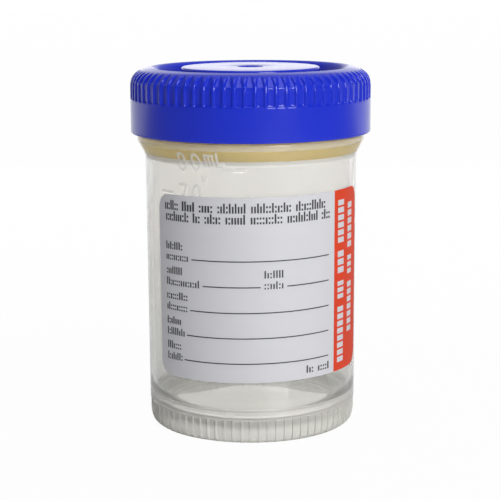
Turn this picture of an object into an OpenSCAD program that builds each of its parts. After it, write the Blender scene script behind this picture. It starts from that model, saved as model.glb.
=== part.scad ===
// Screw-cap specimen container: a moulded cup, its ribbed lid, the seal in the lid and a printed label.
// Millimetres. The foot stands on z = 0, +Z runs up the axis and the label faces -Y.

/* [Cup] */
// Outside radius of the wall at the foot
cup_r = 22.7; // [21:0.1:25]
// Height of the stop bead's top, which the lid closes down to
body_h = 63.7; // [58:0.5:90]
// How far the wall leans out from foot to bead
draft = 0.25; // [0:0.05:0.4]
// Thickness of the wall
wall = 1.2; // [1:0.1:1.5]
// Thickness of the floor
floor_t = 1.4; // [1:0.1:2]
// Radius of the bend between floor and wall
floor_bend = 5; // [3:0.5:7]

/* [Foot] */
// Height of the ribbed band at the foot
foot_band_h = 5.2; // [4.6:0.1:8]
// Height of the rounding under the band
foot_round_h = 2.7; // [1.5:0.1:3.5]
// How far the rounding tucks in below the band
foot_tuck = 1; // [0.5:0.1:1.4]
// Depth of the hollow under the floor
foot_hollow = 3; // [1.5:0.25:4]
// Width of the ring that the cup stands on
foot_ring = 1.7; // [1.2:0.1:2.4]
// Number of ribs round the foot
foot_ribs = 75; // [60:1:90]
// How far the foot's ribs stand out
foot_rib_h = 0.25; // [0.15:0.05:0.3]
// Width of each foot rib
foot_rib_w = 0.4; // [0.3:0.05:0.6]

/* [Neck] */
// Height of the neck above the stop bead
neck_h = 11.7; // [11:0.1:14]
// How far the bead stands out from the wall
bead_out = 1.65; // [1.2:0.05:1.8]
// Height of the flare that carries the bead
flare_h = 4.7; // [4:0.1:6]
// Height of the bead's straight edge
bead_edge = 1.3; // [0.6:0.1:1.6]
// Rise of the thread in one turn
pitch = 4.2333; // [4:0.1:4.6]
// How far the thread stands out from the neck
thread_h = 1.15; // [0.9:0.05:1.25]
// Width of the thread at its root
thread_root = 1.7; // [1.4:0.1:1.7]
// Width of the thread at its crest
thread_crest = 0.8; // [0.6:0.1:1]
// Turns of thread on the neck
neck_turns = 1.5; // [1.25:0.05:1.5]

/* [Lid] */
// Thickness of the skirt
lid_wall = 1.55; // [1.45:0.05:2]
// Height of the smooth band along the skirt's edge
smooth_h = 7.4; // [6:0.1:8]
// Number of ribs round the lid
lid_ribs = 75; // [60:1:90]
// How far the lid's ribs stand out
lid_rib_h = 0.35; // [0.2:0.05:0.4]
// Width of each lid rib
lid_rib_w = 0.55; // [0.4:0.05:0.7]
// Thickness of the rim's roof
roof_t = 1.7; // [1.3:0.1:2.1]
// Height of the rounded shoulder
shoulder_h = 4.55; // [4:0.05:5]
// Squareness of the shoulder's curve, where 2 is an ellipse
shoulder_n = 2.75; // [2.2:0.05:3]
// Thickness of the channel's walls and floor
channel_t = 1; // [0.8:0.1:1.2]
// Depth of the channel between rim and disc
channel_d = 5.8; // [5:0.1:7]
// Radius of the raised disc
disc_r = 15; // [12:0.25:16]
// How far the disc lies below the rim's top
disc_drop = 0.05; // [0:0.05:0.4]
// Radius of the dimple in the disc
dimple_r = 2.6; // [1.5:0.1:4]
// Depth of the dimple
dimple_d = 0.4; // [0.2:0.05:0.5]
// Turns of thread in the lid
lid_turns = 1.25; // [1:0.05:1.25]

/* [Seal] */
// Thickness of the sleeve and its flange
seal_t = 0.7; // [0.5:0.05:0.8]
// How far the sleeve reaches below the bead's top
seal_drop = 3.2; // [1:0.1:5]

/* [Label] */
// Width of the label round the wall
label_w = 53.6; // [45:0.5:60]
// Height of the label
label_h = 39.2; // [35:0.2:42]
// Height of the label's lower edge
label_z = 13.5; // [12:0.25:14]
// Turn of the label's middle from the front, in degrees
label_turn = 9.25; // [0:0.25:20]
// Radius of the label's corners
label_corner = 3.4; // [1:0.1:5]
// Thickness of the label
label_t = 0.12; // [0.1:0.02:0.16]
// Thickness of the ink
ink_t = 0.05; // [0.04:0.01:0.06]
// Width of the orange field at the label's right end
field_w = 10.6; // [9:0.1:12]
// Thickness of a ruled line
rule_w = 0.3; // [0.2:0.05:0.4]

/* [Fits] */
// Gap between the lid's edge and the bead
edge_gap = 0.3; // [0.2:0.05:0.4]
// Gap between each thread's crest and the wall that faces it
crest_gap = 0.35; // [0.3:0.05:0.45]
// Gap between the lid's thread and the neck's thread above it
flank_gap = 0.2; // [0.15:0.05:0.5]
// Gap between the sleeve and the inside of the neck
seal_gap = 0.15; // [0.1:0.01:0.2]
// Gap between the seal and the lid, and between its flange and the mouth
seat_gap = 0.1; // [0.05:0.01:0.15]
// Thickness of the adhesive under the label
glue_t = 0.02; // [0.01:0.01:0.04]

/* [Hidden] */

$fn = 96;
lean = draft / body_h;
bury = 0.4;
chamfer = 0.25;

// cup: its curves are given as shares of their reach and height
band_step = 0.1;
foot_curve = [[0, 0], [0.5, 0.22], [0.85, 0.6], [1, 1]];
flare_curve = [[0, 0], [0.06, 0.08], [0.16, 0.15]];
hollow_bend = 0.8;
lip = 0.35;
band_r = cup_r - band_step;
foot_valley_r = band_r - foot_rib_h;
stand_r = foot_valley_r - foot_tuck;
hollow_r = stand_r - foot_ring;
floor_z = foot_hollow + floor_t;
mouth_z = body_h + neck_h;
bore_r = wall_r(body_h) - wall;
neck_r = bore_r + wall;
flare_r = wall_r(body_h - flare_h);
bead_r = flare_r + bead_out;

// threads
lid_bore_r = neck_r + thread_h + crest_gap;
thread_rise = 3.4;
thread_low = body_h + thread_rise;
thread_fade = 24;
thread_step = 10;
thread_slope = (thread_root - thread_crest) / 2 / thread_h;
lid_thread_low = thread_low - thread_root + thread_slope * (lid_bore_r - neck_r) - flank_gap;

// seal
flange_z = mouth_z + seat_gap;
sleeve_r = bore_r - seal_gap;
sleeve_in_r = sleeve_r - seal_t;
sleeve_low = body_h - seal_drop;
sleeve_edge = 0.2;

// lid
lid_r = lid_bore_r + lid_wall;
lid_low = body_h + edge_gap;
roof_z = flange_z + seal_t + seat_gap;
lid_top = roof_z + roof_t;
ledge_z = lid_low + smooth_h;
rib_valley_r = lid_r - lid_rib_h;
shoulder_z = lid_top - shoulder_h;
shoulder_span = 6.4;
shoulder_in = lid_r - shoulder_span;
plug_r = sleeve_in_r - seat_gap;
rim_lean = 0.75;
rim_in_r = plug_r - channel_t + rim_lean;
rim_edge = 1.2;
channel_z = lid_top - channel_d;
disc_z = lid_top - disc_drop;
disc_round = 0.8;
disc_t = 1.5;
channel_bend = 0.4;
roof_bend = 0.9;
rim_rib_end = 1;

// label
face_t = glue_t + label_t;
mid_r = wall_r(label_z + label_h / 2) + face_t;
field_u = label_w / 2 - field_w;
margin = 2.4;
word_gap = 0.9;
line_gap = 1.35;
heading_h = 1.5;
caption_h = 1.2;
rule_drop = 13.3;
rule_step = 5.44;
split_rule = 1;
split_from = -2;
split_to = 4.6;
pair_u = -1;
pair_w = 4.4;
heading_drops = [3, 5.4];
caption_rises = [2.5, 0.2];
rules_end = field_u - 1.8;
code_words = [2.2, 3.4];
code_u = field_u - 7.8;
code_rise = 1.4;
column_u = [1.4, 5.4];
column_w = [2.5, 2.3];
column_drop = [2.2, 3.2];
heading_words = [[4.3, 3.4, 3.3, 6.1, 8.6, 7.6], [6.8, 1.9, 3.7, 4.3, 6.8, 7.4, 2.6]];
captions = [[5.2, 6.7], [5, 9.4], [6.4, 6.3], [4.5, 5.5], [4.4, 4.8]];
column_words = [[9.6, 5.2, 4.2, 12.6], [10.2, 4.4, 11.4]];

// outside radius of the cup's wall at height z
function wall_r(z) = cup_r + lean * z;

// inside radius of the cup at height z
function inner_r(z) = wall_r(z) - wall;

// arc of points about a centre, from angle a to angle b
function arc(cr, cz, r, a, b, n) = [
    for (i = [0:n]) let (t = a + (b - a) * i / n)
        [cr + r * cos(t), cz + r * sin(t)]
];

// quarter of a squared-off ellipse, from its side (first) to its top (last)
function squircle(r_in, r_out, z_low, z_top, power, n) = [
    for (i = [0:n]) let (t = 90 * i / n)
        [r_in + (r_out - r_in) * pow(cos(t), 2 / power), z_low + (z_top - z_low) * pow(sin(t), 2 / power)]
];

// angle round the wall for a distance u along the label, from its middle
function turn_at(u) = label_turn + u / mid_r * 180 / PI;

// ---- shared shapes ----

// straight ribs round the axis: thin blades that the caller trims to its own outline
module blades(count, w, r_in, r_out, z_low, z_high) {
    for (i = [0:count - 1])
        rotate([0, 0, 360 * i / count])
            translate([r_in, -w / 2, z_low])
                cube([r_out - r_in, w, z_high - z_low]);
}

// one screw thread: a ridge swept along a helix from r_root to r_crest, fading out at both ends
module thread(r_root, r_crest, z_low, turns) {
    rings = ceil(turns * 360 / thread_step);
    side = sign(r_crest - r_root);
    function fade(i) = min(1, min(i, rings - i) * thread_step / thread_fade);
    function ring(i) = let (
        t = turns * 360 * i / rings,
        z = z_low + pitch * t / 360,
        r = r_root + (r_crest - r_root) * fade(i),
        back = r_root - side * bury,
        wide = thread_root / 2 + bury * thread_slope,
        tip = thread_crest / 2 + (thread_root - thread_crest) / 2 * (1 - fade(i))
    ) [for (p = [[back, -wide], [r, -tip], [r, tip], [back, wide]]) [p[0] * cos(t), p[0] * sin(t), z + p[1]]];
    points = [for (i = [0:rings]) each ring(i)];
    sides = [
        for (i = [0:rings - 1], k = [0:3])
            let (a = 4 * i + k, b = 4 * i + (k + 1) % 4, c = b + 4, d = a + 4)
                each [[a, b, c], [a, c, d]]
    ];
    last = 4 * rings;
    ends = [[3, 2, 1], [3, 1, 0], [last, last + 1, last + 2], [last, last + 2, last + 3]];
    faces = [for (f = concat(sides, ends)) side > 0 ? f : [f[2], f[1], f[0]]];
    polyhedron(points, faces);
}

// a patch of the wall's surface: from u0 to u1 round the label and z0 to z1, between two depths off the wall
module patch(u0, u1, z0, z1, t0, t1) {
    rotate([0, 0, turn_at(u0) - 90])
        rotate_extrude(angle = turn_at(u1) - turn_at(u0))
            polygon([
                [wall_r(z0) + t0, z0],
                [wall_r(z0) + t1, z0],
                [wall_r(z1) + t1, z1],
                [wall_r(z1) + t0, z1]
            ]);
}

// what a round corner takes off a patch: the corner at (u, z), open towards side (-1 left, 1 right)
// and rise (-1 down, 1 up)
module corner_cut(u, z, r, side, rise) {
    over = 1.3;
    start = 0.05;
    curve = [for (t = [22.5, 45, 67.5]) [r * (cos(t) - 1), r * (sin(t) - 1)]];
    outline = concat(
        [[r, r], [r, -over * r], [start * r, -over * r]],
        curve,
        [[-over * r, start * r], [-over * r, r]]
    );
    rotate([0, 0, turn_at(u) - 90])
        translate([cup_r / 2, 0, z])
            rotate([90, 0, 90])
                linear_extrude(cup_r)
                    polygon([for (p = outline) [side * p[0], rise * p[1]]]);
}

// a patch whose corners on the given sides are round
module round_patch(u0, u1, z0, z1, t0, t1, r, sides) {
    difference() {
        patch(u0, u1, z0, z1, t0, t1);
        for (side = sides, rise = [-1, 1])
            corner_cut(side < 0 ? u0 : u1, rise < 0 ? z0 : z1, r, side, rise);
    }
}

// ---- cup ----

module cup_profile() {
    flare_z = body_h - flare_h;
    bend_r = inner_r(floor_z + floor_bend);
    polygon(concat(
        [[0, foot_hollow]],
        arc(hollow_r - hollow_bend, foot_hollow - hollow_bend, hollow_bend, 90, 0, 3),
        [[hollow_r, 0]],
        [for (p = foot_curve) [stand_r + foot_tuck * p[0], foot_round_h * p[1]]],
        [[foot_valley_r, foot_band_h - chamfer], [wall_r(foot_band_h), foot_band_h]],
        [for (p = flare_curve) [flare_r + bead_out * p[0], flare_z + flare_h * p[1]]],
        [[bead_r, body_h - bead_edge], [bead_r, body_h]],
        [[neck_r, body_h], [neck_r, mouth_z - lip], [neck_r - lip, mouth_z]],
        [[bore_r + lip, mouth_z], [bore_r, mouth_z - lip], [bore_r, body_h]],
        arc(bend_r - floor_bend, floor_z + floor_bend, floor_bend, 0, -90, 8),
        [[0, floor_z]]
    ));
}

module foot_rib_profile() {
    polygon(concat(
        [[stand_r - 2 * bury, 0]],
        [for (p = foot_curve) [stand_r + foot_rib_h + foot_tuck * p[0], foot_round_h * p[1]]],
        [[band_r, foot_band_h - chamfer], [stand_r - 2 * bury, foot_band_h - chamfer]]
    ));
}

module cup() {
    color([0.86, 0.85, 0.82, 0.6]) {
        rotate_extrude()
            cup_profile();
        intersection() {
            rotate_extrude()
                foot_rib_profile();
            blades(foot_ribs, foot_rib_w, stand_r - bury, band_r + bury, 0, foot_band_h);
        }
        thread(neck_r, neck_r + thread_h, thread_low, neck_turns);
    }
}

// ---- lid ----

module lid_profile(side_r) {
    shoulder = squircle(shoulder_in, side_r, shoulder_z, lid_top, shoulder_n, 12);
    rim = [for (p = shoulder) if (p[0] > rim_in_r + rim_edge) p];
    polygon(concat(
        [[lid_bore_r + chamfer, lid_low], [lid_r - chamfer, lid_low], [lid_r, lid_low + chamfer]],
        [[lid_r, ledge_z - chamfer / 2], [side_r, ledge_z]],
        rim,
        arc(rim_in_r + rim_edge, lid_top - rim_edge, rim_edge, 90, 180, 5),
        [[plug_r - channel_t, channel_z + channel_bend], [plug_r - channel_t - channel_bend, channel_z]],
        [[disc_r + channel_bend, channel_z], [disc_r, channel_z + channel_bend]],
        arc(disc_r - disc_round, disc_z - disc_round, disc_round, 0, 90, 4),
        [[dimple_r + dimple_d, disc_z], [dimple_r, disc_z - dimple_d], [0, disc_z - dimple_d]],
        [[0, disc_z - disc_t], [disc_r - channel_t, disc_z - disc_t]],
        [[disc_r - channel_t, channel_z - channel_t], [plug_r - channel_bend, channel_z - channel_t]],
        [[plug_r, channel_z - channel_t + channel_bend], [plug_r, roof_z]],
        [[lid_bore_r - roof_bend, roof_z], [lid_bore_r, roof_z - roof_bend]],
        [[lid_bore_r, lid_low + chamfer]]
    ));
}

module lid() {
    color([0.12, 0.18, 0.72]) {
        rotate_extrude()
            lid_profile(rib_valley_r);
        intersection() {
            rotate_extrude()
                polygon(concat(
                    [[rib_valley_r - bury, ledge_z - bury], [lid_r, ledge_z - bury]],
                    [for (p = squircle(shoulder_in, lid_r, shoulder_z, lid_top, shoulder_n, 12))
                        if (p[0] > rim_in_r + rim_edge + rim_rib_end) p],
                    [[rim_in_r + rim_edge + rim_rib_end, roof_z + bury]],
                    [[rib_valley_r - bury, roof_z - 2 * bury]]
                ));
            blades(lid_ribs, lid_rib_w, rim_in_r, lid_r + bury, ledge_z - 2 * bury, lid_top + bury);
        }
        thread(lid_bore_r, lid_bore_r - thread_h, lid_thread_low, lid_turns);
    }
}

// ---- seal ----

module seal() {
    color([0.84, 0.72, 0.36])
        rotate_extrude()
            polygon([
                [sleeve_in_r, sleeve_low + sleeve_edge],
                [sleeve_in_r + sleeve_edge, sleeve_low],
                [sleeve_r - sleeve_edge, sleeve_low],
                [sleeve_r, sleeve_low + sleeve_edge],
                [sleeve_r, flange_z],
                [neck_r - lip, flange_z],
                [neck_r, flange_z + sleeve_edge],
                [neck_r, flange_z + seal_t],
                [sleeve_in_r, flange_z + seal_t]
            ]);
}

// ---- label and its print ----

// a row of bars for words of print, from u to the right, with their feet at height v
module words(u, v, widths, h) {
    function start(i) = i == 0 ? 0 : start(i - 1) + widths[i - 1] + word_gap;
    for (i = [0:len(widths) - 1])
        patch(u + start(i), u + start(i) + widths[i], v, v + h, face_t, face_t + ink_t);
}

module label() {
    color([0.9, 0.9, 0.92])
        round_patch(
            -label_w / 2, label_w / 2, label_z, label_z + label_h,
            glue_t, face_t, label_corner, [-1, 1]
        );
}

// the orange field, with bare bars where words stand in two columns that read downwards
module orange_print() {
    module column(u, w, top, heights) {
        function below(i) = i == 0 ? top : below(i - 1) - heights[i - 1] - line_gap;
        for (i = [0:len(heights) - 1])
            patch(u, u + w, below(i) - heights[i], below(i), face_t - bury, face_t + bury);
    }
    top = label_z + label_h;
    color([0.88, 0.3, 0.14])
        difference() {
            round_patch(field_u, label_w / 2, label_z, top, face_t, face_t + ink_t, label_corner, [1]);
            for (k = [0, 1])
                column(field_u + column_u[k], column_w[k], top - column_drop[k], column_words[k]);
        }
}

// headings, captions in pairs, and a rule to write on beside each pair
module black_print() {
    left = -label_w / 2 + margin;
    top = label_z + label_h;
    color([0.12, 0.12, 0.13]) {
        for (k = [0, 1])
            words(left, top - heading_drops[k], heading_words[k], heading_h);
        for (i = [0:len(captions) - 1]) {
            low = top - rule_drop - i * rule_step;
            start = left + captions[i][1] + word_gap;
            cut = i == split_rule;
            for (k = [0, 1])
                words(left, low + caption_rises[k], [captions[i][k]], caption_h);
            patch(start, cut ? split_from : rules_end, low - rule_w, low, face_t, face_t + ink_t);
            if (cut)
                patch(split_to, rules_end, low - rule_w, low, face_t, face_t + ink_t);
            if (cut)
                for (rise = caption_rises)
                    words(pair_u, low + rise, [pair_w], caption_h);
        }
        words(code_u, label_z + code_rise, code_words, caption_h);
    }
}

cup();
lid();
seal();
label();
orange_print();
black_print();
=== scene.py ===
import math

import bpy
import numpy as np
from mathutils import Matrix, Vector


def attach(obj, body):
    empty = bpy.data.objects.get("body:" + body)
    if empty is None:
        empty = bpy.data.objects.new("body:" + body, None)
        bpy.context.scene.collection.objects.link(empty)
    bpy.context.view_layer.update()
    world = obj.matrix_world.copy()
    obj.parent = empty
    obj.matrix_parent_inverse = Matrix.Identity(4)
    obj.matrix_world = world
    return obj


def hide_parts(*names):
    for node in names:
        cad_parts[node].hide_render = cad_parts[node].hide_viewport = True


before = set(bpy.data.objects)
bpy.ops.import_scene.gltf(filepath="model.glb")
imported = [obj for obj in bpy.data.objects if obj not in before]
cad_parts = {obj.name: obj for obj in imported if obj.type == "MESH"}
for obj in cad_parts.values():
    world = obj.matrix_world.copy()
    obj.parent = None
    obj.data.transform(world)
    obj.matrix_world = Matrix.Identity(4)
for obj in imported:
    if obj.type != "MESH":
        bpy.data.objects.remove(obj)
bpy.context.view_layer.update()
mm = 0.001
print("frame loaded")


# Angles run round the axis from the front (-Y) towards +X, lengths are in mm until a mesh is made.

def roundAxis(radius, angle, height):
    # x = r sin(a), y = -r cos(a), z = height
    return np.stack(np.broadcast_arrays(radius * np.sin(angle), -radius * np.cos(angle), height), -1)


def smoothRise(x):
    # 3x^2 - 2x^3 between 0 and 1
    x = np.clip(x, 0, 1)
    return x * x * (3 - 2 * x)


def arc(middle, height, size, start, end, count):
    # points on a quarter circle or less: r = middle + size cos(t), z = height + size sin(t), t in degrees
    t = np.radians(np.linspace(start, end, count))
    return list(zip(middle + size * np.cos(t), height + size * np.sin(t)))


def withRest(points, *rest):
    # every point (radius, z) with the same further values behind it
    return [(r, z) + rest for r, z in points]


def putMesh(name, points, faceLists, sharpAngle=None):
    # faceLists holds arrays of faces, each with its own number of corners
    used, flat = np.unique(np.concatenate([f.ravel() for f in faceLists]), return_inverse=True)
    sizes = np.concatenate([np.full(len(f), f.shape[1]) for f in faceLists])
    mesh = bpy.data.meshes.new(name)
    mesh.vertices.add(len(used))
    mesh.vertices.foreach_set("co", (points[used] * mm).astype(np.float32).ravel())
    mesh.loops.add(len(flat))
    mesh.loops.foreach_set("vertex_index", flat.astype(np.int32).ravel())
    mesh.polygons.add(len(sizes))
    mesh.polygons.foreach_set("loop_start", (np.cumsum(sizes) - sizes).astype(np.int32))
    mesh.update(calc_edges=True)
    mesh.validate()
    mesh.shade_smooth()
    if sharpAngle:
        mesh.set_sharp_from_angle(angle=math.radians(sharpAngle))
    piece = bpy.data.objects.new(name, mesh)
    bpy.context.scene.collection.objects.link(piece)
    return piece


def turnedPiece(name, grid, closed=False, sharpAngle=None):
    # grid has rows along the outline and columns round the axis.
    # An open outline starts and ends on the axis, where its row becomes one point; a closed one joins up.
    rows, cols = grid.shape[:2]
    index = np.arange(rows * cols).reshape(rows, cols)
    across = np.roll(index, -1, axis=1)
    if closed:
        up = np.roll(index, -1, axis=0)
        quads = np.stack([index, across, np.roll(up, -1, axis=1), up], -1).reshape(-1, 4)
        return putMesh(name, grid.reshape(-1, 3), [quads], sharpAngle)
    body = slice(1, rows - 2)
    quads = np.stack([index[body], across[body], across[2:rows - 1], index[2:rows - 1]], -1).reshape(-1, 4)
    first = np.stack([np.full(cols, index[0, 0]), across[1], index[1]], -1)
    last = np.stack([np.full(cols, index[-1, 0]), index[-2], across[-2]], -1)
    return putMesh(name, grid.reshape(-1, 3), [quads, first, last], sharpAngle)


def wrappedSheet(name, uLines, vLines, keep, low, high, onWall):
    # a thin closed sheet on the wall: the kept cells of a grid of u and v lines, between two depths.
    # onWall turns u, v and depth into a point; the sides are closed wherever a kept cell meets a bare one.
    u, v = np.meshgrid(uLines, vLines)
    points = np.concatenate([onWall(u, v, low).reshape(-1, 3), onWall(u, v, high).reshape(-1, 3)])
    below = np.arange(u.size).reshape(u.shape)
    above = below + u.size
    faces = [
        np.stack([above[:-1, :-1], above[:-1, 1:], above[1:, 1:], above[1:, :-1]], -1)[keep],
        np.stack([below[:-1, :-1], below[1:, :-1], below[1:, 1:], below[:-1, 1:]], -1)[keep],
    ]
    wide = np.pad(keep, 1)
    left = keep & ~wide[1:-1, :-2]
    right = keep & ~wide[1:-1, 2:]
    under = keep & ~wide[:-2, 1:-1]
    over = keep & ~wide[2:, 1:-1]
    faces.append(np.stack([below[:-1, :-1], above[:-1, :-1], above[1:, :-1], below[1:, :-1]], -1)[left])
    faces.append(np.stack([above[:-1, 1:], below[:-1, 1:], below[1:, 1:], above[1:, 1:]], -1)[right])
    faces.append(np.stack([below[:-1, :-1], below[:-1, 1:], above[:-1, 1:], above[:-1, :-1]], -1)[under])
    faces.append(np.stack([above[1:, :-1], above[1:, 1:], below[1:, 1:], below[1:, :-1]], -1)[over])
    return putMesh(name, points, faces, 30)


def newGroup(name, inputs, outputs):
    group = bpy.data.node_groups.new(name, "ShaderNodeTree")
    for label, kind, value in inputs:
        socket = group.interface.new_socket(name=label, in_out="INPUT", socket_type=kind)
        if value is not None:
            socket.default_value = value
    for label, kind in outputs:
        group.interface.new_socket(name=label, in_out="OUTPUT", socket_type=kind)
    return group, group.nodes.new("NodeGroupInput"), group.nodes.new("NodeGroupOutput")


def addNode(tree, kind, **settings):
    node = tree.nodes.new(kind)
    for key, value in settings.items():
        if key == "inputs":
            for socket, content in value.items():
                if isinstance(content, bpy.types.NodeSocket):
                    tree.links.new(content, node.inputs[socket])
                else:
                    node.inputs[socket].default_value = content
        else:
            setattr(node, key, value)
    return node


def blendColours(tree, factor, first, second, mode="MIX"):
    node = addNode(tree, "ShaderNodeMix", data_type="RGBA", blend_type=mode)
    for socket, content in ((0, factor), (6, first), (7, second)):
        if isinstance(content, bpy.types.NodeSocket):
            tree.links.new(content, node.inputs[socket])
        else:
            node.inputs[socket].default_value = content
    return node.outputs[2]


def maths(tree, operation, first, second):
    return addNode(tree, "ShaderNodeMath", operation=operation, inputs={0: first, 1: second}).outputs[0]


skinNoise = dict(driftScale=60.0, driftDetail=2.0, grainScale=1400.0, grainDetail=3.0)


def makeMouldedSkin():
    # the skin of moulded plastic: broad drifts of tone, and a fine grain as height
    group, given, out = newGroup(
        "mouldedSkin",
        [("Vector", "NodeSocketVector", None), ("Drift", "NodeSocketFloat", 0.05),
         ("Grain", "NodeSocketFloat", 0.1), ("Roughness", "NodeSocketFloat", 0.3)],
        [("Tone", "NodeSocketFloat"), ("Roughness", "NodeSocketFloat"), ("Height", "NodeSocketFloat")])
    noises = []
    for kind in ("drift", "grain"):
        noises.append(addNode(group, "ShaderNodeTexNoise", inputs={
            "Vector": given.outputs["Vector"], "Scale": skinNoise[kind + "Scale"],
            "Detail": skinNoise[kind + "Detail"]}).outputs["Fac"])
    drift = maths(group, "MULTIPLY", maths(group, "SUBTRACT", noises[0], 0.5), given.outputs["Drift"])
    tone = maths(group, "ADD", drift, 1.0)
    group.links.new(tone, out.inputs["Tone"])
    group.links.new(maths(group, "MULTIPLY", tone, given.outputs["Roughness"]), out.inputs["Roughness"])
    group.links.new(maths(group, "MULTIPLY", noises[1], given.outputs["Grain"]), out.inputs["Height"])
    return group


def makeFadeAlong():
    # 0 to 1 along one direction of the object, between two places
    group, given, out = newGroup(
        "fadeAlong",
        [("Vector", "NodeSocketVector", None), ("Direction", "NodeSocketVector", (0, 0, 1)),
         ("From", "NodeSocketFloat", 0.0), ("To", "NodeSocketFloat", 1.0)],
        [("Fade", "NodeSocketFloat")])
    dot = addNode(group, "ShaderNodeVectorMath", operation="DOT_PRODUCT",
                  inputs={0: given.outputs["Vector"], 1: given.outputs["Direction"]})
    ramp = addNode(group, "ShaderNodeMapRange", interpolation_type="SMOOTHSTEP",
                   inputs={0: dot.outputs["Value"], 1: given.outputs["From"], 2: given.outputs["To"]})
    group.links.new(ramp.outputs[0], out.inputs["Fade"])
    return group


mouldedSkin = makeMouldedSkin()
fadeAlong = makeFadeAlong()


def newFinish(name):
    finish = bpy.data.materials.new(name)
    finish.use_nodes = True
    tree = finish.node_tree
    shader = tree.nodes["Principled BSDF"]
    place = addNode(tree, "ShaderNodeTexCoord")
    return finish, tree, shader, place.outputs["Object"]


def placeGroup(tree, group, **inputs):
    node = tree.nodes.new("ShaderNodeGroup")
    node.node_tree = group
    for label, content in inputs.items():
        if isinstance(content, bpy.types.NodeSocket):
            tree.links.new(content, node.inputs[label])
        else:
            node.inputs[label].default_value = content
    return node


def addSkin(tree, shader, place, drift, grain, roughness, depth):
    skin = placeGroup(tree, mouldedSkin, Vector=place, Drift=drift, Grain=grain, Roughness=roughness)
    bump = addNode(tree, "ShaderNodeBump",
                   inputs={"Height": skin.outputs["Height"], "Distance": depth, "Strength": 0.5})
    tree.links.new(bump.outputs[0], shader.inputs["Normal"])
    tree.links.new(skin.outputs["Roughness"], shader.inputs["Roughness"])
    return skin


def tint(tree, skin, colour):
    # the colour, made a little lighter and darker by the skin's tone
    grey = addNode(tree, "ShaderNodeCombineColor", inputs={k: skin.outputs["Tone"] for k in range(3)})
    return blendColours(tree, 1.0, colour, grey.outputs[0], "MULTIPLY")


# The cup's plastic, as it looks in its clear wall and in its milkier places: a colour low down and one higher up, where
# the lower one is darker as painted shade, the share of light that goes through, and the skin. The order is that of the
# cup's material slots.
cupLooks = dict(
    naturalPolypropylene=dict(high=(1.0, 0.985, 0.955, 1), low=(0.84, 0.84, 0.81, 1), through=0.85, roughness=0.04),
    thickPolypropylene=dict(high=(0.96, 0.95, 0.91, 1), low=(0.80, 0.79, 0.74, 1), through=0.35, roughness=0.2),
    edgePolypropylene=dict(high=(0.96, 0.95, 0.91, 1), low=(0.84, 0.83, 0.78, 1), through=0.62, roughness=0.15),
    floorPolypropylene=dict(high=(0.95, 0.94, 0.91, 1), low=(0.95, 0.94, 0.91, 1), through=0.95, roughness=0, grain=0),
    footPolypropylene=dict(high=(0.93, 0.91, 0.86, 1), low=(0.93, 0.91, 0.86, 1), through=0.55, roughness=0.1))
# the last two values are the heights, in metres, over which the painted shade low on the cup gives way to the higher
# colour
cupSkin = dict(drift=0.12, grain=0.3, depth=0.00001, ior=1.49, paintedShadeFrom=0.004, paintedShadeTo=0.06)

# The pieces that light doesn't go through.
solidLooks = dict(
    bluePolypropylene=dict(colour=(0.006, 0.026, 0.64, 1), roughness=0.16, drift=0.10, depth=0.00002, ior=1.49),
    paleSealRubber=dict(colour=(0.93, 0.70, 0.13, 1), roughness=0.4, drift=0.15, depth=0.00003, ior=1.5),
    labelFilm=dict(colour=(0.74, 0.74, 0.78, 1), roughness=0.45, drift=0.04, depth=0.00002, ior=1.5),
    orangeInk=dict(colour=(0.82, 0.05, 0.005, 1), roughness=0.55, drift=0.25, depth=0.00001, ior=1.5),
    blackInk=dict(colour=(0.05, 0.05, 0.055, 1), roughness=0.5, drift=0.25, depth=0.00001, ior=1.5))


def makeCupPlastic(name, look):
    finish, tree, shader, place = newFinish(name)
    grain = look.get("grain", cupSkin["grain"])
    skin = addSkin(tree, shader, place, cupSkin["drift"], grain, look["roughness"], cupSkin["depth"])
    # painted shade: the plastic's colour is darker low on the cup and lighter higher up
    paintedShadeFade = placeGroup(tree, fadeAlong, Vector=place, From=cupSkin["paintedShadeFrom"], To=cupSkin["paintedShadeTo"])
    colour = blendColours(tree, paintedShadeFade.outputs["Fade"], look["low"], look["high"])
    tree.links.new(tint(tree, skin, colour), shader.inputs["Base Color"])
    shader.inputs["Transmission Weight"].default_value = look["through"]
    shader.inputs["IOR"].default_value = cupSkin["ior"]
    return finish


def makeSolidFinish(name, look):
    finish, tree, shader, place = newFinish(name)
    skin = addSkin(tree, shader, place, look["drift"], 1.0, look["roughness"], look["depth"])
    tree.links.new(tint(tree, skin, look["colour"]), shader.inputs["Base Color"])
    shader.inputs["IOR"].default_value = look["ior"]
    return finish


cupPlastics = [makeCupPlastic(name, look) for name, look in cupLooks.items()]
finishes = {name: makeSolidFinish(name, look) for name, look in solidLooks.items()}
print("materials made")


def dress(piece, materials, body, node):
    # gives a piece its materials, hangs it on the body it rides on and hides the node that it stands for
    for finish in materials:
        piece.data.materials.append(finish)
    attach(piece, body)
    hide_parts(node)


# The thread that cup and lid share: its ridge is a trapezoid, root and crest wide, and fades over so many degrees.
screw = dict(pitch=4.2333, height=1.15, root=1.7, crest=0.8, fade=24)


def threadHeight(angle, z, zLow, turns):
    # height of a helical ridge: a trapezoid over the distance from the helix, fading in and out at its ends
    start = (angle - math.pi / 2) % (2 * math.pi)
    height = np.zeros(np.broadcast_shapes(angle.shape, z.shape))
    for lap in range(math.ceil(turns)):
        t = start + 2 * math.pi * lap
        left = turns * 2 * math.pi - t
        fade = np.clip(np.minimum(t, left) / math.radians(screw["fade"]), 0, 1)
        away = np.abs(z - (zLow + screw["pitch"] * t / (2 * math.pi)))
        flank = (screw["root"] - screw["crest"]) / 2
        ridge = np.clip((screw["root"] / 2 - away) / flank, 0, 1) * screw["height"]
        height = np.maximum(height, np.minimum(ridge, screw["height"] * fade))
    return height


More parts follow.
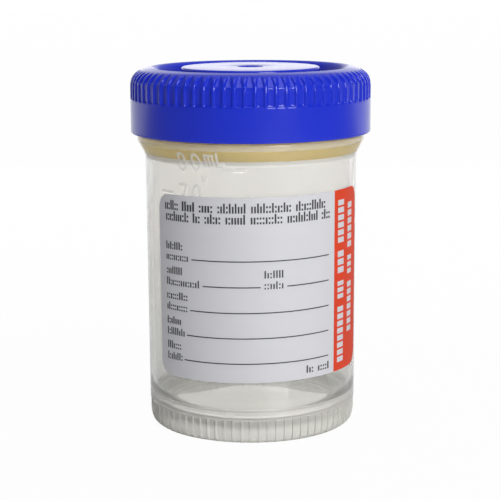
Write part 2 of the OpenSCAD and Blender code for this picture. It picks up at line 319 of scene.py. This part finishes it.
cup = dict(
    radius=22.7, lean=0.25 / 63.7, wall=1.2, floorTop=4.4, hollow=3.0, hollowRound=0.8, bend=5.0,
    bandTop=5.2, bandStep=0.1, roundTop=2.7, roundPower=1.8, tuck=1.0, ring=1.7, notch=0.25,
    ribs=75, ribRadius=22.6, ribOut=0.25, ribWide=0.4, ribFlank=0.14, ribTurn=-1.0,
    beadTop=63.7, flare=4.6, flareSoft=0.006, beadOut=1.65, beadEdge=1.3,
    mouth=75.4, lip=0.35, threadLow=67.1, neckTurns=1.5)

seal = dict(sleeve=21.77, sleeveInner=20.9, low=60.1, flange=75.5, thick=0.7, flangeRadius=22.95, edge=0.2)

# the moulded scale: strokes 0.5 mm wide, x along the wall from the front, z up
scale = dict(
    radius=22.9, wide=0.5, out=0.12, digitHigh=3.5, digitWide=1.75, low=50.9, high=62.3,
    rows=((59.6, "80"), (52.9, "70")), firstDigit=-15.9, secondDigit=-12.5, lineStart=-21.6, lineEnd=-18.2)

# where the cup's plastic changes its look
milky = dict(floorLow=2.9, floorHigh=4.6, footTop=7.6, marksLow=52.3, marksHigh=62.2, marksAngle=-1.0)


def wallRadius(z):
    return cup["radius"] + cup["lean"] * z


def bow(x, z, wide, high, start, end, count=14):
    # an arc of an ellipse, from a start to an end angle
    t = np.radians(np.linspace(start, end, count))
    return np.stack([x + wide * np.cos(t), z + high * np.sin(t)], -1)


def digitStrokes(digit, x, z):
    w, h = scale["digitWide"], scale["digitHigh"]
    middle = x + w / 2
    if digit == "0":
        return [bow(middle, z + h / 2, w / 2, h / 2, 0, 360, 28)]
    if digit == "8":
        return [bow(middle, z + h * 0.26, w / 2, h * 0.26, 0, 360, 24),
                bow(middle, z + h * 0.76, w * 0.42, h * 0.24, 0, 360, 24)]
    return [np.array([[x, z + h], [x + w, z + h], [x + w * 0.35, z]])]


def scaleStrokes():
    strokes = []
    for z, digits in scale["rows"]:
        strokes.append(np.array([[scale["lineStart"], z], [scale["lineEnd"], z]]))
        low = z - scale["digitHigh"] / 2 + 0.1
        strokes += digitStrokes(digits[0], scale["firstDigit"], low)
        strokes += digitStrokes(digits[1], scale["secondDigit"], low)
    # the unit beside the first number, and the two short lines to its right
    strokes.append(np.array([
        [-9.4, 59.2], [-9.4, 61.3], [-8.6, 61.3], [-8.6, 59.2], [-8.6, 61.3], [-7.8, 61.3], [-7.8, 59.2]]))
    strokes.append(np.array([[-6.9, 61.7], [-6.9, 59.2], [-5.5, 59.2]]))
    strokes.append(bow(-9.75, 56.8, 0.45, 1.0, 180, 330))
    strokes.append(np.array([[-5.7, 58.6], [-4.1, 58.6]]))
    strokes.append(np.array([[-3.7, 58.16], [-1.5, 58.16]]))
    return strokes


def reliefHeight(x, z, strokes):
    # distance from each point to the nearest stroke, turned into a rounded ridge
    away = np.full(np.broadcast_shapes(x.shape, z.shape), 9.0)
    for line in strokes:
        for a, b in zip(line[:-1], line[1:]):
            d = b - a
            t = np.clip(((x - a[0]) * d[0] + (z - a[1]) * d[1]) / max(d @ d, 1e-9), 0, 1)
            away = np.minimum(away, np.hypot(x - a[0] - t * d[0], z - a[1] - t * d[1]))
    return scale["out"] * smoothRise((scale["wide"] * 0.9 - away) / (scale["wide"] * 0.7))


def footRadii():
    # the grooves of the foot's band, and the outer and inner edge of the ring that the cup stands on
    valley = cup["radius"] - cup["bandStep"] - cup["ribOut"]
    stand = valley - cup["tuck"]
    return valley, stand, stand - cup["ring"]


def cupOutline():
    # rows of (radius, height, rib share), from the middle of the underside round to the middle of the floor;
    # a share below 0 is where the grooves between the ribs notch the ring that the cup stands on
    valley, stand, hollow = footRadii()
    soft = cup["hollowRound"]
    rows = [(0, cup["hollow"], 0), (6, cup["hollow"], 0), (hollow - 2, cup["hollow"], 0)]
    rows += withRest(arc(hollow - soft, cup["hollow"] - soft, soft, 90, 0, 6), 0)
    rows += [(hollow, 0.5, 0), (hollow, 0.2, -0.6), (hollow + 0.1, 0.06, -1), (hollow + 0.3, 0, -1)]
    rows += [(hollow + 0.8, 0, -1), (stand - 0.35, 0, -1), (stand - 0.08, 0.03, -1)]
    for s in (0.04, 0.12, 0.24, 0.38, 0.54, 0.72, 0.9, 1.0):
        # the rounded foot: out = (1 - (1 - s)^p)^(1/p)
        out = (1 - (1 - s) ** cup["roundPower"]) ** (1 / cup["roundPower"])
        rows.append((stand + cup["tuck"] * out, cup["roundTop"] * s, min(1, s * 5)))
    rows += [(valley, z, 1) for z in (3.0, 3.7, 4.4, 4.75, 4.9)]
    band = cup["bandTop"]
    rows += [(valley + 0.04, band - 0.2, 0.9), (wallRadius(band - 0.1) - 0.12, band - 0.12, 0)]
    rows += [(wallRadius(z), z, 0) for z in (band, band + 0.2, 6.5, milky["footTop"], 12, 22, 32, 42, 48, 50.6)]

    low = cup["beadTop"] - cup["flare"]
    top = cup["beadTop"] - cup["beadEdge"]
    for z in np.arange(51.0, top - 0.1, 0.17):
        # a cone that starts with a soft bend: out = 1.08 ((s^2 + soft)^0.5 - 0.077)
        s = max(0, (z - low) / (top - low))
        out = (math.sqrt(s * s + cup["flareSoft"]) - 0.077) * 1.08
        rows.append((wallRadius(min(z, low)) + cup["beadOut"] * out, z, 0))
    bead = wallRadius(low) + cup["beadOut"]
    rows += [(bead - 0.04, top + 0.02, 0), (bead, top + 0.15, 0), (bead, cup["beadTop"] - 0.25, 0)]
    rows += [(bead - 0.07, cup["beadTop"] - 0.07, 0), (bead - 0.25, cup["beadTop"], 0)]

    neck = wallRadius(cup["beadTop"])
    bore = neck - cup["wall"]
    lip, lipLow = cup["lip"], cup["mouth"] - cup["lip"]
    rows += [(neck + 0.2, cup["beadTop"], 0), (neck, cup["beadTop"] + 0.15, 0)]
    rows += [(neck, z, 0) for z in np.arange(64.2, lipLow - 0.05, 0.34)]
    rows += withRest(arc(neck - lip, lipLow, lip, 0, 90, 4) + arc(bore + lip, lipLow, lip, 90, 180, 4), 0)
    rows += [(wallRadius(min(z, cup["beadTop"])) - cup["wall"], z, 0) for z in (70, 63.7, 55, 44, 33, 22, 14, 10.5)]
    bendTop = cup["floorTop"] + cup["bend"]
    bendRadius = wallRadius(bendTop) - cup["wall"] - cup["bend"]
    rows += withRest(arc(bendRadius, bendTop, cup["bend"], 0, -90, 10), 0)
    return np.array(rows + [(9, cup["floorTop"], 0), (0, cup["floorTop"], 0)])


def cupAngles():
    # columns that follow the ribs, with finer ones where the scale stands
    period = 2 * math.pi / cup["ribs"]
    steps = np.array([-0.34, -0.2, 0.2, 0.34, 0.75, 1.12]) / cup["ribRadius"]
    crests = np.arange(cup["ribs"]) * period + math.radians(cup["ribTurn"])
    ribbed = (crests[:, None] + steps[None, :]).ravel()
    ribbed = (ribbed + math.pi) % (2 * math.pi) - math.pi
    low, high = -22.4 / scale["radius"], -1.0 / scale["radius"]
    fine = np.arange(low, high, 0.135 / scale["radius"])
    ribbed = ribbed[(ribbed < low - 0.004) | (ribbed > high + 0.004)]
    return np.sort(np.concatenate([ribbed, fine]))


def makeCup():
    outline = cupOutline()
    angle = cupAngles()[None, :]
    radius, height, share = (outline[:, k][:, None] for k in range(3))
    period = 2 * math.pi / cup["ribs"]
    turned = angle - math.radians(cup["ribTurn"]) + period / 2
    fromCrest = (turned % period - period / 2) * cup["ribRadius"]
    rib = smoothRise((cup["ribWide"] / 2 + cup["ribFlank"] - np.abs(fromCrest)) / cup["ribFlank"])
    out = cup["ribOut"] * rib * np.maximum(share, 0)
    notch = cup["notch"] * (1 - rib) * np.maximum(-share, 0)
    outside = np.arange(len(outline))[:, None] < np.argmax(outline[:, 1])
    marked = outside & (height > scale["low"]) & (height < scale["high"])
    marks = reliefHeight(angle * scale["radius"], height, scaleStrokes()) * marked
    isNeck = outside & (height > 64) & (np.abs(radius - wallRadius(cup["beadTop"])) < 0.3)
    thread = threadHeight(angle, height, cup["threadLow"], cup["neckTurns"]) * isNeck
    grid = roundAxis(radius + out + marks + thread, angle, height + notch)
    return turnedPiece("cup_moulding", grid, sharpAngle=50)


def paintCup(mesh):
    # thick plastic is milkier than the wall: the foot's band, the bend above it, the raised marks, and the lower part
    # and the edge of the flare; the flat floor is clearer. The numbers are the places in cupLooks.
    thick, edge, floor, foot = range(1, 5)
    centres = np.empty(len(mesh.polygons) * 3, np.float32)
    mesh.polygons.foreach_get("center", centres)
    x, y, z = centres.reshape(-1, 3).T / mm
    away, angle = np.hypot(x, y), np.arctan2(x, -y)
    outside = away > wallRadius(z) - 0.3
    stand = footRadii()[1]
    bead = cup["beadTop"]
    kind = np.where((z < cup["bandTop"] + 0.1) & (away > stand + 0.1), thick, 0).astype(np.int32)
    kind[(away < stand) & (z > milky["floorLow"]) & (z < milky["floorHigh"])] = floor
    kind[outside & (z > bead - cup["flare"] - 0.35) & (z < seal["low"] - 0.1)] = thick
    kind[outside & (z > bead - cup["beadEdge"] - 0.1) & (z < bead + 0.2)] = edge
    marked = outside & (z > milky["marksLow"]) & (z < milky["marksHigh"]) & (angle > milky["marksAngle"]) & (angle < 0)
    raised = reliefHeight(angle * scale["radius"], z, scaleStrokes()) > scale["out"] / 2
    kind[marked & raised] = thick
    kind[outside & (z > cup["bandTop"] + 0.1) & (z < milky["footTop"])] = foot
    mesh.polygons.foreach_set("material_index", kind)


cupPiece = makeCup()
dress(cupPiece, cupPlastics, "cup", "cup")
paintCup(cupPiece.data)
print("cup made,", len(cupPiece.data.polygons), "faces")


lid = dict(
    radius=26.0, bore=24.45, low=64.0, lowRound=0.3, ledge=71.4, top=78.0, shoulder=4.55, span=6.4, power=2.75,
    ribs=75, ribTurn=2.0, ribWide=0.55, ribFlank=0.16, panelDeep=0.35, panelTop=75.2, tipRadius=23.7, tipWide=0.03,
    roof=76.3, plug=20.8, channelLow=72.2, channelRound=0.4, wall=1.0, rimInner=20.55, rimRound=1.2,
    disc=15.0, discTop=77.95, discRound=0.45, discThick=1.5, dimple=2.6, dimpleDeep=0.28,
    threadLow=65.2871, turns=1.25)


def shoulderCurve(t):
    # a squared-off ellipse: r = rIn + span cos(t)^(2/n), z = zLow + rise sin(t)^(2/n)
    power = 2 / lid["power"]
    inner = lid["radius"] - lid["span"]
    low = lid["top"] - lid["shoulder"]
    return inner + lid["span"] * np.cos(t) ** power, low + lid["shoulder"] * np.sin(t) ** power


def panelFloor(r, z):
    # how deep the panels are cut at points of the shoulder, and how wide: a panel's floor is the straight line from
    # its top up to its tip, and its width narrows as (1 - share^2)^0.5 on the way
    rFoot, zFoot = lid["radius"] - lid["panelDeep"], lid["panelTop"]
    turns = np.linspace(0, 1.5, 400)
    rTip, zTip = shoulderCurve(np.interp(-lid["tipRadius"], -shoulderCurve(turns)[0], turns))
    along = np.array([rTip - rFoot, zTip - zFoot])
    length = math.hypot(*along)
    normal = np.array([along[1], -along[0]]) / length
    share = ((r - rFoot) * along[0] + (z - zFoot) * along[1]) / length ** 2
    deep = np.where(z > zFoot, (r - rFoot) * normal[0] + (z - zFoot) * normal[1], r - rFoot)
    deep = np.where(share > 1, 0, np.maximum(deep, 0))
    narrow = np.clip(np.sqrt(1 - np.clip(share, 0, 1) ** 2), lid["tipWide"], 1)
    return deep, np.where(z > zFoot, narrow, 1.0)


def lidOutline():
    # rows of (radius, height, panel depth, panel width share), from the top's middle round to the underside's
    dimple, dimpleLow, discTop = lid["dimple"], lid["discTop"] - lid["dimpleDeep"], lid["discTop"]
    top = [(0, dimpleLow), (1.2, dimpleLow), (dimple - 0.15, dimpleLow + 0.03), (dimple + 0.05, discTop - 0.25)]
    top += [(dimple + 0.2, discTop - 0.05), (dimple + 0.4, discTop), (8, discTop)]
    top += arc(lid["disc"] - lid["discRound"], discTop - lid["discRound"], lid["discRound"], 90, 0, 8)
    soft = lid["channelRound"]
    top += arc(lid["disc"] + soft, lid["channelLow"] + soft, soft, 180, 270, 4)
    top += arc(lid["plug"] - lid["wall"] - soft, lid["channelLow"] + soft, soft, -90, 0, 4)
    top += arc(lid["rimInner"] + lid["rimRound"], lid["top"] - lid["rimRound"], lid["rimRound"], 180, 90, 8)
    rows = withRest(top, 0, 1.0)

    turns = np.concatenate([np.radians(np.linspace(74, 8, 30)), np.radians([3.0, 0.6, 0.0])])
    r, z = shoulderCurve(turns)
    rows += list(zip(r, z, *panelFloor(r, z)))

    out, ledge, deep = lid["radius"], lid["ledge"], lid["panelDeep"]
    rows += [(out, 72.8, deep, 1.0), (out, 72.0, deep, 1.0), (out, ledge + 0.16, deep, 1.0)]
    rows += [(out, ledge + 0.05, deep - 0.03, 1.0), (out, ledge, deep - 0.12, 1.0)]
    rows += [(out, ledge - 0.04, 0.05, 1.0), (out, ledge - 0.12, 0, 1.0)]

    low, bore, roof, plug = lid["low"], lid["bore"], lid["roof"], lid["plug"]
    rest = [(out, 71.0), (out, 68.0), (out, low + 0.6), (out, low + lid["lowRound"])]
    rest += arc(out - lid["lowRound"], low + lid["lowRound"], lid["lowRound"], -20, -90, 4)
    rest += [(bore + 0.25, low), (bore + 0.05, low + 0.06), (bore, low + 0.2)]
    rest += [(bore, z) for z in np.arange(low + 0.5, 72.5, 0.32)]
    rest += [(bore, roof - 0.9), (bore - 0.35, roof - 0.35), (bore - 0.9, roof)]
    under, discUnder = lid["channelLow"] - lid["wall"], discTop - lid["discThick"]
    rest += [(plug, roof), (plug, under + soft), (plug - 0.12, under + 0.12), (plug - soft, under)]
    rest += [(lid["disc"] - lid["wall"], under), (lid["disc"] - lid["wall"], discUnder), (4, discUnder), (0, discUnder)]
    return np.array(rows + withRest(rest, 0, 1.0))


def makeLid():
    outline = lidOutline()[::-1]
    radius, height, deep, width = (outline[:, k][:, None] for k in range(4))
    # columns keep to the edges of the panels, so that they crowd together towards the tips
    half = math.pi / lid["ribs"]
    flank = lid["ribFlank"] / lid["radius"]
    panel = (half - lid["ribWide"] / 2 / lid["radius"] - flank) * width
    edge, foot, support = half - panel - flank, half - panel, half - panel * 0.86
    firstHalf = [np.zeros_like(panel), edge * 0.75, edge, foot, support]
    places = firstHalf + [np.full_like(panel, half)] + [2 * half - place for place in firstHalf[:0:-1]]
    local = np.concatenate(places, axis=1)
    drop = np.array([0, 0, 0.14, 0.94, 1, 1, 1, 0.94, 0.14, 0])
    crests = math.radians(lid["ribTurn"]) + np.arange(lid["ribs"]) * 2 * half
    angle = (crests[None, :, None] + local[:, None, :]).reshape(len(outline), -1)
    cut = np.tile(drop, lid["ribs"])[None, :] * deep
    inBore = (np.abs(radius - lid["bore"]) < 0.01) & (height > lid["low"] + 0.3) & (height < 74)
    thread = threadHeight(angle, height, lid["threadLow"], lid["turns"]) * inBore
    # a panel is cut square to the outline, whose tilt comes from the slopes of its rows
    tilt = np.arctan2(-np.gradient(outline[:, 0]), np.gradient(outline[:, 1]))[:, None] * (deep > 0)
    grid = roundAxis(radius - cut * np.cos(tilt) - thread, angle, height - cut * np.sin(tilt))
    return turnedPiece("lid_moulding", grid, sharpAngle=55)


lidPiece = makeLid()
dress(lidPiece, [finishes["bluePolypropylene"]], "lid", "lid")
print("lid made,", len(lidPiece.data.polygons), "faces")


def makeSeal():
    # a closed outline of the sleeve and its flange, carried round the axis
    soft, low, flange = seal["edge"], seal["low"], seal["flange"]
    inner, sleeve, wide = seal["sleeveInner"], seal["sleeve"], seal["flangeRadius"]
    top, middle = flange + seal["thick"], 68.0
    outline = np.array([
        (inner, low + soft), (inner + soft, low), (sleeve - soft, low), (sleeve, low + soft), (sleeve, middle),
        (sleeve, flange - 0.1), (sleeve + 0.1, flange), (wide - soft, flange), (wide, flange + soft),
        (wide, top), (inner, top), (inner, middle)])
    angle = np.linspace(0, 2 * math.pi, 192, endpoint=False)[None, :]
    return turnedPiece("seal_ring", roundAxis(outline[:, :1], angle, outline[:, 1:]), closed=True, sharpAngle=35)


sealPiece = makeSeal()
dress(sealPiece, [finishes["paleSealRubber"]], "seal", "seal")
print("seal made")


label = dict(
    wide=53.6, high=39.2, low=13.5, turn=9.25, corner=3.4, tilt=0.278, glue=0.02, thick=0.12, ink=0.05, sunk=0.02,
    cornerRows=(0, 0.4, 1.0, 1.8, 2.6, 3.4), middleRows=(10, 20, 29), columnStep=0.9)

# The black print, in mm from the label's middle and its lower edge. A heading is (height, start, widths of its words),
# a caption (height, width) of its upper row and then of its lower row, a rule (height, start).
blackPrint = dict(
    headings=((36.0, -24.4, (4.3, 3.4, 3.3, 6.1, 8.6, 7.6)), (33.7, -24.1, (6.8, 1.9, 3.7, 4.3, 6.8, 7.4, 2.6))),
    captions=((27.6, 5.2, 25.3, 6.7), (22.3, 5.0, 19.9, 9.4), (16.9, 6.4, 14.5, 6.3), (11.5, 4.5, 9.1, 5.5),
              (6.1, 4.4, 3.7, 4.8)),
    rules=((25.9, -16.9), (20.45, -14.2), (15.0, -17.4), (9.57, -18.3), (4.14, -19.1)),
    captionStart=-24.2, ruleEnd=14.35, ruleWide=0.22, ruleDrop=0.15, brokenRule=20.45, breakStart=-1.85, breakEnd=3.85,
    breakWords=((-1.0, 22.3, 4.3), (-1.0, 20.0, 4.3)), code=((8.4, 1.2, 2.0), (11.4, 1.2, 3.4)),
    headingHigh=1.4, captionHigh=1.1, wordGap=0.9, barStep=0.62, headingGap=0.27, captionGap=0.33,
    tallShare=0.3, tall=1.45, splitShare=0.65, splitPart=0.3, gridStep=1.0, seed=5)

# The orange field: its columns of words are (start, width, top, lengths of the words), and each word is bare blocks.
orangeField = dict(
    wide=10.6, columns=((17.4, 2.5, 37.0, (9.6, 5.2, 4.2, 12.6)), (21.6, 2.4, 36.0, (10.2, 4.4, 11.4))),
    block=1.6, blockGap=0.4, wordGap=1.35, gridStep=1.03)


def onLabel(u, v, depth):
    # u and v are mm along the label from its middle and up from its lower edge; the label climbs a little to the right
    middle = wallRadius(label["low"] + label["high"] / 2) + label["glue"] + label["thick"]
    turn = u / middle
    z = label["low"] + v + label["tilt"] * turn
    return roundAxis(wallRadius(z) + depth, math.radians(label["turn"]) + turn, z)


def roundedEnds(u, v):
    # heights near the label's ends move in so that its corners are quarter circles
    r = label["corner"]
    d = np.clip(r - (label["wide"] / 2 - np.abs(u)), 0, r)
    inset = r - np.sqrt(r * r - d * d)
    low = np.clip(r - v, 0, r) / r
    high = np.clip(v - (label["high"] - r), 0, r) / r
    return v + inset * (low - high)


def cornerLines(end, toward):
    # columns that crowd towards a round corner: corner (1 - cos t) from the label's end
    t = np.radians(np.linspace(8, 90, 10))
    return end + toward * label["corner"] * (1 - np.cos(t))


def cornerRows(*middle):
    # rows of the label's grid, close together where its corners are round
    low = np.array(label["cornerRows"])
    return np.concatenate([low, middle, label["high"] - low[::-1]])


def sheetLines(parts, places):
    return np.unique(np.round(np.concatenate(parts), places))


def insideAny(uLines, vLines, boxes):
    # which cells of the grid lie in any of the boxes (u, v, width, height)
    u = (uLines[:-1] + uLines[1:])[None, :] / 2
    v = (vLines[:-1] + vLines[1:])[:, None] / 2
    inside = np.zeros((len(vLines) - 1, len(uLines) - 1), bool)
    for x, y, w, h in boxes:
        inside |= (u > x) & (u < x + w) & (v > y) & (v < y + h)
    return inside


def onRoundedLabel(u, v, depth):
    return onLabel(u, roundedEnds(u, v), depth)


def makeLabel():
    half = label["wide"] / 2
    uLines = sheetLines([
        cornerLines(-half, 1), cornerLines(half, -1), [-half, half], np.arange(-23, 23.1, label["columnStep"])], 4)
    uLines[0] += 0.01
    uLines[-1] -= 0.01
    vLines = cornerRows(*label["middleRows"])
    keep = np.ones((len(vLines) - 1, len(uLines) - 1), bool)
    low = label["glue"]
    return wrappedSheet("label_film", uLines, vLines, keep, low, low + label["thick"], onRoundedLabel)


def wordBars(rng, u, v, width, high, gap):
    # a word of print as a row of thin bars, some of them taller and some in two short pieces
    count = max(2, int(round(width / blackPrint["barStep"])))
    step = width / count
    kind = rng.random(count)
    bars = []
    for k in range(count):
        x, wide = u + k * step, step - gap
        if kind[k] < blackPrint["tallShare"]:
            bars.append((x, v, wide, high * blackPrint["tall"]))
        elif kind[k] < blackPrint["splitShare"]:
            part = high * blackPrint["splitPart"]
            bars += [(x, v, wide, part), (x, v + high - part, wide, part)]
        else:
            bars.append((x, v, wide, high))
    return bars


def blackBars():
    rng = np.random.default_rng(blackPrint["seed"])
    bars = []
    for v, start, words in blackPrint["headings"]:
        u = start
        for width in words:
            bars += wordBars(rng, u, v, width, blackPrint["headingHigh"], blackPrint["headingGap"])
            u += width + blackPrint["wordGap"]
    small = blackPrint["captionHigh"], blackPrint["captionGap"]
    for upper, upperWide, lower, lowerWide in blackPrint["captions"]:
        bars += wordBars(rng, blackPrint["captionStart"], upper, upperWide, *small)
        bars += wordBars(rng, blackPrint["captionStart"], lower, lowerWide, *small)
    for v, start in blackPrint["rules"]:
        ends = [(start, blackPrint["ruleEnd"])]
        if v == blackPrint["brokenRule"]:
            ends = [(start, blackPrint["breakStart"]), (blackPrint["breakEnd"], blackPrint["ruleEnd"])]
        bars += [(a, v - blackPrint["ruleDrop"], b - a, blackPrint["ruleWide"]) for a, b in ends]
    for u, v, width in blackPrint["breakWords"] + blackPrint["code"]:
        bars += wordBars(rng, u, v, width, *small)
    return bars


def inkDepths():
    # ink starts a little inside the film, so that no gap shows at its edge
    surface = label["glue"] + label["thick"]
    return surface - label["sunk"], surface + label["ink"]


def makeBlackPrint():
    bars = np.array(blackBars())
    uLines = sheetLines([bars[:, 0], bars[:, 0] + bars[:, 2], np.arange(-26, 26.5, blackPrint["gridStep"])], 4)
    vLines = sheetLines([bars[:, 1], bars[:, 1] + bars[:, 3]], 4)
    return wrappedSheet("black_bars", uLines, vLines, insideAny(uLines, vLines, bars), *inkDepths(), onLabel)


def makeOrangeField():
    half = label["wide"] / 2
    blocks = []
    for u, wide, top, words in orangeField["columns"]:
        v = top
        for word in words:
            count = int(round(word / orangeField["block"]))
            step = word / count
            for k in range(count):
                blocks.append((u, v - (k + 1) * step + orangeField["blockGap"], wide, step - orangeField["blockGap"]))
            v -= word + orangeField["wordGap"]
    blocks = np.array(blocks)
    uLines = sheetLines([
        [half - orangeField["wide"], half], blocks[:, 0], blocks[:, 0] + blocks[:, 2],
        np.arange(16.8, 23, orangeField["gridStep"]), cornerLines(half, -1)], 3)
    uLines[-1] -= 0.01
    vLines = sheetLines([cornerRows(), blocks[:, 1], blocks[:, 1] + blocks[:, 3]], 3)
    printed = ~insideAny(uLines, vLines, blocks)
    return wrappedSheet("orange_field", uLines, vLines, printed, *inkDepths(), onRoundedLabel)


labelPiece, orangePiece, blackPiece = makeLabel(), makeOrangeField(), makeBlackPrint()
dress(labelPiece, [finishes["labelFilm"]], "cup", "label")
dress(orangePiece, [finishes["orangeInk"]], "cup", "orange_print")
dress(blackPiece, [finishes["blackInk"]], "cup", "black_print")
print("label made,", len(blackPiece.data.polygons), "faces of black print")


view = dict(place=(0, -334.5, 99.8), pitch=10.54, yaw=-0.05, roll=0.32, focal=1540, frameWide=500, sensor=36)

# Lamps, in metres and watts.
lamps = dict(
    keyLamp=dict(place=(0.30, -0.56, 0.30), aim=(0, 0, 0.05), wide=0.30, high=0.40, power=2.7),
    topLamp=dict(place=(0.05, -0.1, 0.8), aim=(0, 0, 0.05), wide=0.5, high=0.5, power=1.2),
    backLamp=dict(place=(0, 0.9, 0.13), aim=(0, 0, 0.09), wide=0.9, high=0.14, power=0.20))

# How white floor and sky are where they are seen, what their light is in front of and behind the object, and between
# which places along y they change.
studio = dict(
    paper=(0.82, 0.82, 0.82, 1), paperRoughness=0.08, floorHalf=3, floorSeen=0.96, floorThrough=0.85,
    glossFront=0.1, skyFront=0.2, skyBack=0.5, floorWhitens=(0.23, 0.33), skyWhitens=(0.78, 0.94), skyTurns=(-0.2, 0.6))


def makeCamera():
    pitch, yaw, roll = (math.radians(view[k]) for k in ("pitch", "yaw", "roll"))
    forward = np.array([math.sin(yaw) * math.cos(pitch), math.cos(yaw) * math.cos(pitch), -math.sin(pitch)])
    right = np.array([math.cos(yaw), -math.sin(yaw), 0])
    up = np.cross(right, forward)
    turnedRight = math.cos(roll) * right - math.sin(roll) * up
    turnedUp = math.sin(roll) * right + math.cos(roll) * up
    data = bpy.data.cameras.new("camera")
    data.sensor_width = view["sensor"]
    data.lens = view["focal"] / view["frameWide"] * view["sensor"]
    data.clip_start = 0.01
    camera = bpy.data.objects.new("camera", data)
    turn = Matrix(np.stack([turnedRight, turnedUp, -forward], 1).tolist()).to_4x4()
    camera.matrix_world = Matrix.Translation(Vector(view["place"]) * mm) @ turn
    bpy.context.scene.collection.objects.link(camera)
    bpy.context.scene.camera = camera


def addLamp(name, place, aim, wide, high, power):
    data = bpy.data.lights.new(name, "AREA")
    data.shape = "RECTANGLE"
    data.size, data.size_y = wide, high
    data.energy = power
    lamp = bpy.data.objects.new(name, data)
    lamp.location = place
    lamp.rotation_euler = (Vector(aim) - Vector(place)).to_track_quat("-Z", "Y").to_euler()
    lamp.visible_camera = False
    bpy.context.scene.collection.objects.link(lamp)


def riseAlongY(tree, place, between, low=0.0, high=1.0):
    # a smooth step from low to high, between two places along y
    parts = addNode(tree, "ShaderNodeSeparateXYZ", inputs={0: place})
    step = addNode(tree, "ShaderNodeMapRange", interpolation_type="SMOOTHSTEP",
                   inputs={0: parts.outputs["Y"], 1: between[0], 2: between[1], 3: low, 4: high})
    return step.outputs[0]


def seenShare(tree, behind, seen, through):
    # how white a place is: what the camera and clear plastic see, and for gloss white behind the object and dim
    # elsewhere
    rays = addNode(tree, "ShaderNodeLightPath")
    glossy = addNode(tree, "ShaderNodeMapRange", inputs={0: behind, 1: 0.0, 2: 1.0, 3: studio["glossFront"], 4: 1.0})
    shares = [maths(tree, "MULTIPLY", rays.outputs[ray], amount) for ray, amount in (
        ("Is Camera Ray", seen), ("Is Transmission Ray", through), ("Is Glossy Ray", glossy.outputs[0]))]
    return maths(tree, "MAXIMUM", maths(tree, "MAXIMUM", shares[0], shares[1]), shares[2])


def makeFloor():
    far = studio["floorHalf"]
    mesh = bpy.data.meshes.new("floor")
    mesh.from_pydata([(-far, -far, 0), (far, -far, 0), (far, far, 0), (-far, far, 0)], [], [(0, 1, 2, 3)])
    floor = bpy.data.objects.new("floor", mesh)
    bpy.context.scene.collection.objects.link(floor)
    paper, tree, shader, place = newFinish("paper")
    shader.inputs["Base Color"].default_value = studio["paper"]
    shader.inputs["Roughness"].default_value = studio["paperRoughness"]
    behind = riseAlongY(tree, place, studio["floorWhitens"])
    share = seenShare(tree, behind, studio["floorSeen"], studio["floorThrough"])
    glow = addNode(tree, "ShaderNodeEmission", inputs={"Color": (1, 1, 1, 1), "Strength": 1.0})
    mix = addNode(tree, "ShaderNodeMixShader", inputs={0: share, 1: shader.outputs[0], 2: glow.outputs[0]})
    tree.links.new(mix.outputs[0], tree.nodes["Material Output"].inputs["Surface"])
    mesh.materials.append(paper)


def makeSky():
    # white where it is seen, a soft grey where it lights the object
    world = bpy.data.worlds.new("studio")
    bpy.context.scene.world = world
    world.use_nodes = True
    tree = world.node_tree
    background = tree.nodes["Background"]
    direction = addNode(tree, "ShaderNodeTexCoord").outputs["Generated"]
    seen = seenShare(tree, riseAlongY(tree, direction, studio["skyWhitens"]), 1.0, 1.0)
    light = riseAlongY(tree, direction, studio["skyTurns"], studio["skyFront"], studio["skyBack"])
    background.inputs["Color"].default_value = (1, 1, 1, 1)
    tree.links.new(maths(tree, "MAXIMUM", seen, light), background.inputs["Strength"])


makeCamera()
makeFloor()
makeSky()
for name, values in lamps.items():
    addLamp(name, **values)
bpy.context.scene.view_settings.view_transform = "Standard"
print("camera, floor and light set")
